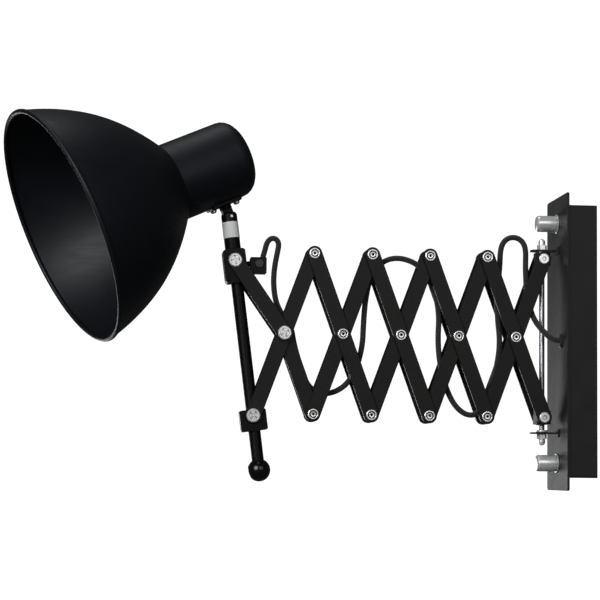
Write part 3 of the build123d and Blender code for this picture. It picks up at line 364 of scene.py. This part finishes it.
def rivet(form, x, z, spacer_half):
    """A shouldered rivet through both ladders: an outline along Y, spun about its own axis."""
    shank = [(spacer_half - SHOULDER_EDGE, SHOULDER_R), (spacer_half, SHOULDER_R - SHOULDER_EDGE),
             (spacer_half, SHANK_R)]
    half = shank + [(RIVET_SEAT + along, radius) for along, radius in RIVET_HEAD]
    outline = [(-y, r) for y, r in reversed(half)] + half
    line = [form.verts.new((x + r, y, z)) for y, r in outline]
    edges = [form.edges.new(pair) for pair in zip(line, line[1:])]
    bmesh.ops.spin(form, geom=line + edges, cent=(x, 0, z), axis=(0, 1, 0), angle=2 * pi, steps=RIVET_SIDES,
                   use_merge=True)


def rivet_groove(face, spots):
    """Whether the face lies in the dimple, or in the groove round the middle of the head, which are painted dark as
    shade.
    """
    centre = face.calc_center_median()
    away = min(((centre.x - x) ** 2 + (centre.z - z) ** 2) ** 0.5 for x, z in spots)
    deep = RIVET_SEAT - 0.002 < abs(centre.y) < RIVET_TIP - GROOVE_DEPTH
    return deep and (away < DIMPLE_R or GROOVE_IN_R < away < GROOVE_OUT_R)


def add_rivets(metal, shadow):
    """The rivets of each falling bar, which turn with it."""
    for number in range(1, 6):
        top = (ROD_X - 2 * (number - 1) * HALF_WIDE, ARM_Z + HALF_HIGH)
        middle = (ROD_X - (2 * number - 1) * HALF_WIDE, ARM_Z)
        bottom = (ROD_X - 2 * number * HALF_WIDE, ARM_Z - HALF_HIGH)
        spots = [(top, SPACER_HALF)] if number > 1 else []
        if number < 5:
            spots += [(middle, SPACER_HALF), (bottom, LAST_SPACER_HALF if number == 4 else SPACER_HALF)]
        form = bmesh.new()
        for (x, z), spacer_half in spots:
            rivet(form, x, z, spacer_half)
        bmesh.ops.remove_doubles(form, verts=form.verts, dist=MERGE_WITHIN)
        bmesh.ops.recalc_face_normals(form, faces=form.faces)
        for face in form.faces:
            face.smooth = True
            # painted shade: dimple and groove faces take the second, near-black material
            face.material_index = int(rivet_groove(face, [spot for spot, _ in spots]))
        mesh = bpy.data.meshes.new(f"rivets_{number}")
        form.to_mesh(mesh)
        form.free()
        mesh.set_sharp_from_angle(angle=radians(40))
        mesh.materials.append(metal)
        mesh.materials.append(shadow)
        piece = bpy.data.objects.new(f"rivets_{number}", mesh)
        bpy.context.scene.collection.objects.link(piece)
        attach(piece, f"falling_{number}")
        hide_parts(f"pivot_pins_{number}")


# ---------------------------------------------------------------- the cord

def evaluated(curve_name, fill):
    holder = bpy.data.objects.new(curve_name, bpy.data.curves.new(curve_name, "CURVE"))
    fill(holder.data)
    bpy.context.scene.collection.objects.link(holder)
    bpy.context.view_layer.update()
    mesh = bpy.data.meshes.new_from_object(holder)
    bpy.data.objects.remove(holder)
    return mesh


def add_spline(curve, kind, points):
    curve.dimensions = "3D"
    spline = curve.splines.new(kind)
    spline.points.add(len(points) - 1)
    for target, point in zip(spline.points, points):
        target.co = (*point, 1)
    return spline


def smooth_route():
    def fill(curve):
        spline = add_spline(curve, "NURBS", CORD_ROUTE)
        spline.order_u = 3
        spline.use_endpoint_u = True
        spline.resolution_u = 10
    return [v.co.copy() for v in evaluated("cord_route", fill).vertices]


def spaced(line, step):
    """The line again, with points at even distances."""
    points, left = [line[0]], step
    for start, end in zip(line, line[1:]):
        gap = (end - start).length
        while gap > 0 and left <= gap:
            start = start.lerp(end, left / gap)
            gap = (end - start).length
            points.append(start)
            left = step
        left -= gap
    return points + [line[-1]]


def cord_tube(points):
    """The whole sleeve as rings of numbered vertices, with its length and turn in a map."""
    def fill(curve):
        add_spline(curve, "POLY", points)
        curve.bevel_depth = CORD_RADIUS
        curve.bevel_resolution = 4
    mesh = evaluated("cord_tube", fill)
    round_count = len(mesh.vertices) // len(points)
    form = bmesh.new()
    form.from_mesh(mesh)
    layer = form.loops.layers.uv.new("along_round")
    ring_layer = form.verts.layers.int.new("ring")
    form.verts.ensure_lookup_table()
    for vert in form.verts:
        vert[ring_layer] = vert.index // round_count
    for face in form.faces:
        wraps = max(v.index % round_count for v in face.verts) - min(v.index % round_count for v in face.verts) > 1
        face.smooth = True
        for loop in face.loops:
            ring, side = divmod(loop.vert.index, round_count)
            side += round_count if wraps and side == 0 else 0
            loop[layer].uv = (ring * CORD_STEP, side / round_count)
    return form


def close_end(form, ring, layer):
    """A cap on the open end of the sleeve at that ring."""
    rim = [e for e in form.edges if e.is_boundary and all(v[layer] == ring for v in e.verts)]
    cap = bmesh.ops.edgeloop_fill(form, edges=rim)
    bmesh.ops.inset_region(form, faces=cap["faces"], thickness=CORD_RADIUS * CORD_CAP_INSET, depth=0.0)


def add_cord(material):
    """The sleeve cut into its stretches, each a piece of its own."""
    points = spaced(smooth_route(), CORD_STEP)
    whole = cord_tube(points)
    ring_layer = whole.verts.layers.int["ring"]
    close_end(whole, 0, ring_layer)
    close_end(whole, len(points) - 1, ring_layer)
    start = 0
    for name, body_a, body_b, bend_start, bend_end, last in CORD_STRETCHES:
        end = len(points) - 1 if last is None else nearest(points, last, start)
        part = whole.copy()
        layer = part.verts.layers.int["ring"]
        bmesh.ops.delete(part, geom=[v for v in part.verts if not start <= v[layer] <= end], context="VERTS")
        bmesh.ops.recalc_face_normals(part, faces=part.faces)
        mesh = bpy.data.meshes.new(name)
        part.to_mesh(mesh)
        part.free()
        mesh.materials.append(material)
        piece = bpy.data.objects.new(name, mesh)
        bpy.context.scene.collection.objects.link(piece)
        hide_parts("cord")
        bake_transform(piece)
        start = end
    whole.free()


def nearest(points, place, after):
    """The number of the ring closest to the place as seen from the side, beyond the ring named after."""
    spots = range(after + 1, min(len(points), after + CORD_SEARCH))
    flat = Vector((place[0], 0, place[2]))
    return min(spots, key=lambda i: (Vector((points[i].x, 0, points[i].z)) - flat).length)


# ---------------------------------------------------------------- all of it


add_camera()
finishes = make_finishes()
add_cord(finishes["cord_braid"])
# painted shade: a near-black coat laid in the rivets' dimples and grooves
rivet_groove_shade = powder_coat("rivet_groove_shade", (0.01, 0.01, 0.01), (0.03, 0.03, 0.03), 900, 0.6, 0.00005)
add_rivets(finishes["bright_nickel"], rivet_groove_shade)
dress_nodes(finishes)
add_backdrop()
add_lights()
bpy.context.scene.view_settings.view_transform = "Standard"
